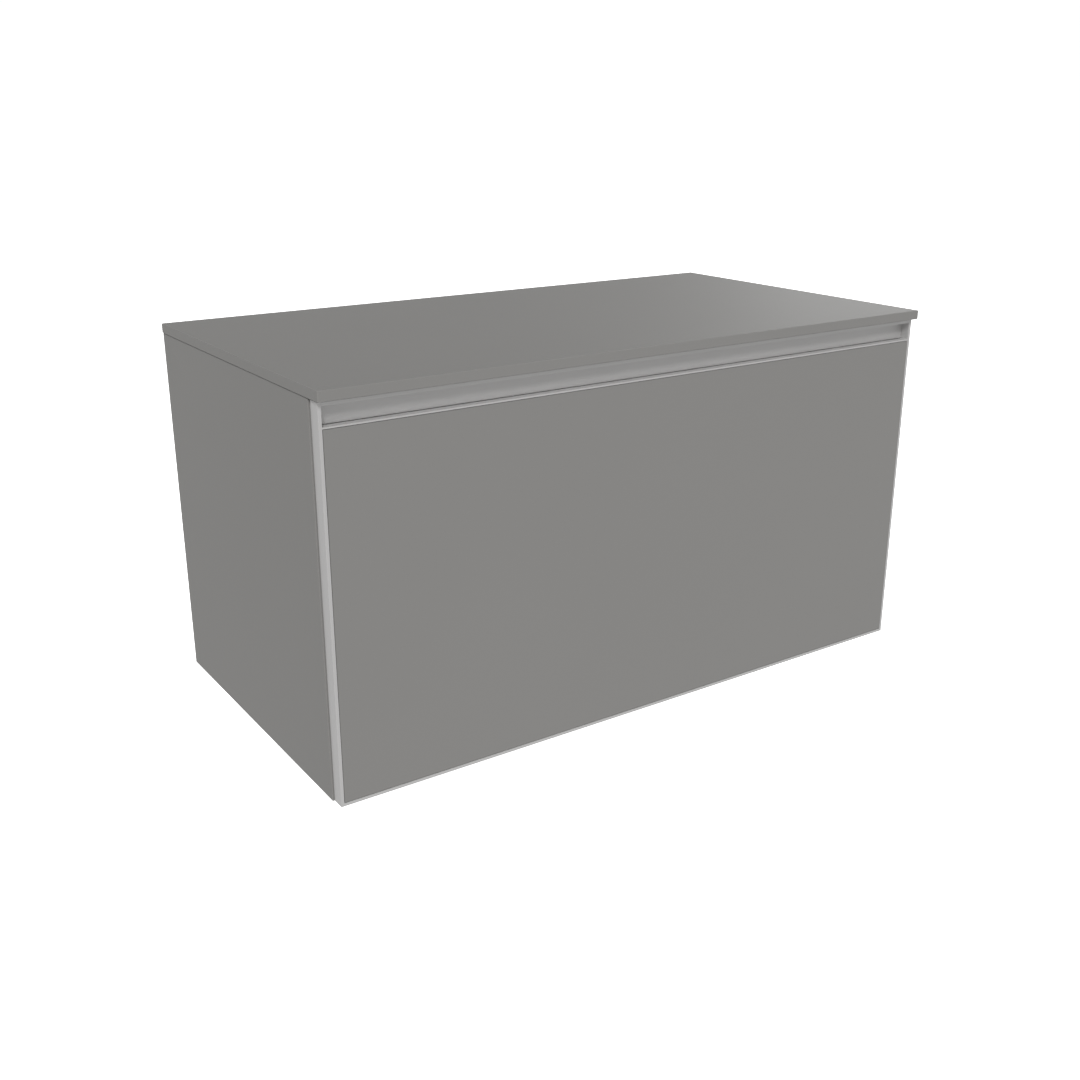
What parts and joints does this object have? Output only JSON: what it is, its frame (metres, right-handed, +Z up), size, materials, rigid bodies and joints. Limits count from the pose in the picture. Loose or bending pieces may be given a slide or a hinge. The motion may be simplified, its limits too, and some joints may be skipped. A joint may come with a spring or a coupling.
{
  "type": "floating vanity",
  "caption": "Wall-hung vanity cabinet with a thin flat benchtop and a full-width pull-out drawer whose aluminium-edged front has a recessed finger pull.",
  "frame": {"origin": "on the wall plane at the centre of the four wall screw holes, half-way up the carcass and on its centre line", "axes": "+Z up; +Y into the wall, so the drawer front faces -Y and opens towards -Y; +X to the right when facing the front"},
  "size_m": [0.902, 0.482, 0.485],
  "materials": {
    "carcass_board": "matte warm-grey laminate board",
    "front_board": "matte warm-grey laminate board",
    "benchtop_surface": "matte warm-grey solid surface",
    "satin_trim": "satin anodised extrusion",
    "galvanised_runner": "galvanised sheet",
    "zinc_fixings": "bright zinc plate",
    "brass_inserts": "plain brass",
    "beech_dowels": "bare beech",
    "damper_plastic": "dark moulded plastic",
    "cage_nylon": "pale moulded nylon",
    "roller_nylon": "smooth white nylon",
    "bumper_rubber": "clear soft pad",
    "plug_plastic": "grey moulded plastic",
    "socket_plastic": "grey moulded plastic",
    "drawer_steel": "satin grey powder coat",
    "drawer_board": "pale matte laminate board"
  },
  "bodies": {
    "cabinet": {"side_panel_left": "carcass_board", "side_panel_right": "carcass_board", "bottom_panel": "carcass_board", "back_rail_upper": "carcass_board", "back_rail_lower": "carcass_board", "front_rail": "carcass_board", "benchtop": "benchtop_surface", "benchtop_brackets": "zinc_fixings", "benchtop_inserts": "brass_inserts", "benchtop_screws": "zinc_fixings", "carcass_screws": "zinc_fixings", "carcass_dowels": "beech_dowels", "cam_locks": "zinc_fixings", "cam_bolts": "zinc_fixings", "runner_rail_left": "galvanised_runner", "runner_rail_right": "galvanised_runner", "soft_close_left": "damper_plastic", "soft_close_right": "damper_plastic", "damper_pistons": "zinc_fixings", "bumper_pads": "bumper_rubber"},
    "drawer": {"front_panel": "front_board", "trim_left": "satin_trim", "trim_right": "satin_trim", "trim_bottom": "satin_trim", "handle_profile": "satin_trim", "handle_screws": "zinc_fixings", "trim_corner_keys": "zinc_fixings", "trim_end_plugs": "plug_plastic", "drawer_runner_left": "galvanised_runner", "drawer_runner_right": "galvanised_runner", "drawer_side_left": "drawer_steel", "drawer_side_right": "drawer_steel", "drawer_base": "drawer_board", "drawer_back_left": "drawer_board", "drawer_back_right": "drawer_board", "cutout_side_left": "drawer_board", "cutout_side_right": "drawer_board", "cutout_front": "drawer_board", "front_bracket_left": "zinc_fixings", "front_bracket_right": "zinc_fixings", "back_bracket_left": "zinc_fixings", "back_bracket_right": "zinc_fixings", "gallery_rod_left": "drawer_steel", "gallery_rod_right": "drawer_steel", "rod_sockets": "socket_plastic", "drawer_screws": "zinc_fixings", "base_screws": "zinc_fixings"},
    "runner_middle_left": {"runner_mid_left": "galvanised_runner"},
    "cage_lower_left_set": {"cage_lower_left": "cage_nylon", "rollers_lower_left": "roller_nylon"},
    "cage_upper_left_set": {"cage_upper_left": "cage_nylon", "rollers_upper_left": "roller_nylon"},
    "runner_middle_right": {"runner_mid_right": "galvanised_runner"},
    "cage_lower_right_set": {"cage_lower_right": "cage_nylon", "rollers_lower_right": "roller_nylon"},
    "cage_upper_right_set": {"cage_upper_right": "cage_nylon", "rollers_upper_right": "roller_nylon"}
  },
  "joints": [
    {"name": "drawer_slide", "type": "slide", "parent": "cabinet", "child": "drawer", "axis": [0, -1, 0], "range_m": [0, 0.4]},
    {"name": "runner_middle_left_slide", "type": "slide", "parent": "cabinet", "child": "runner_middle_left", "axis": [0, -1, 0], "range_m": [0, 0.2]},
    {"name": "cage_lower_left_slide", "type": "slide", "parent": "cabinet", "child": "cage_lower_left_set", "axis": [0, -1, 0], "range_m": [0, 0.1]},
    {"name": "cage_upper_left_slide", "type": "slide", "parent": "cabinet", "child": "cage_upper_left_set", "axis": [0, -1, 0], "range_m": [0, 0.3]},
    {"name": "runner_middle_right_slide", "type": "slide", "parent": "cabinet", "child": "runner_middle_right", "axis": [0, -1, 0], "range_m": [0, 0.2]},
    {"name": "cage_lower_right_slide", "type": "slide", "parent": "cabinet", "child": "cage_lower_right_set", "axis": [0, -1, 0], "range_m": [0, 0.1]},
    {"name": "cage_upper_right_slide", "type": "slide", "parent": "cabinet", "child": "cage_upper_right_set", "axis": [0, -1, 0], "range_m": [0, 0.3]}
  ],
  "couplings": [
    {"joint": "runner_middle_left_slide", "follows": "drawer_slide", "ratio": 0.5},
    {"joint": "cage_lower_left_slide", "follows": "drawer_slide", "ratio": 0.25},
    {"joint": "cage_upper_left_slide", "follows": "drawer_slide", "ratio": 0.75},
    {"joint": "runner_middle_right_slide", "follows": "drawer_slide", "ratio": 0.5},
    {"joint": "cage_lower_right_slide", "follows": "drawer_slide", "ratio": 0.25},
    {"joint": "cage_upper_right_slide", "follows": "drawer_slide", "ratio": 0.75}
  ]
}
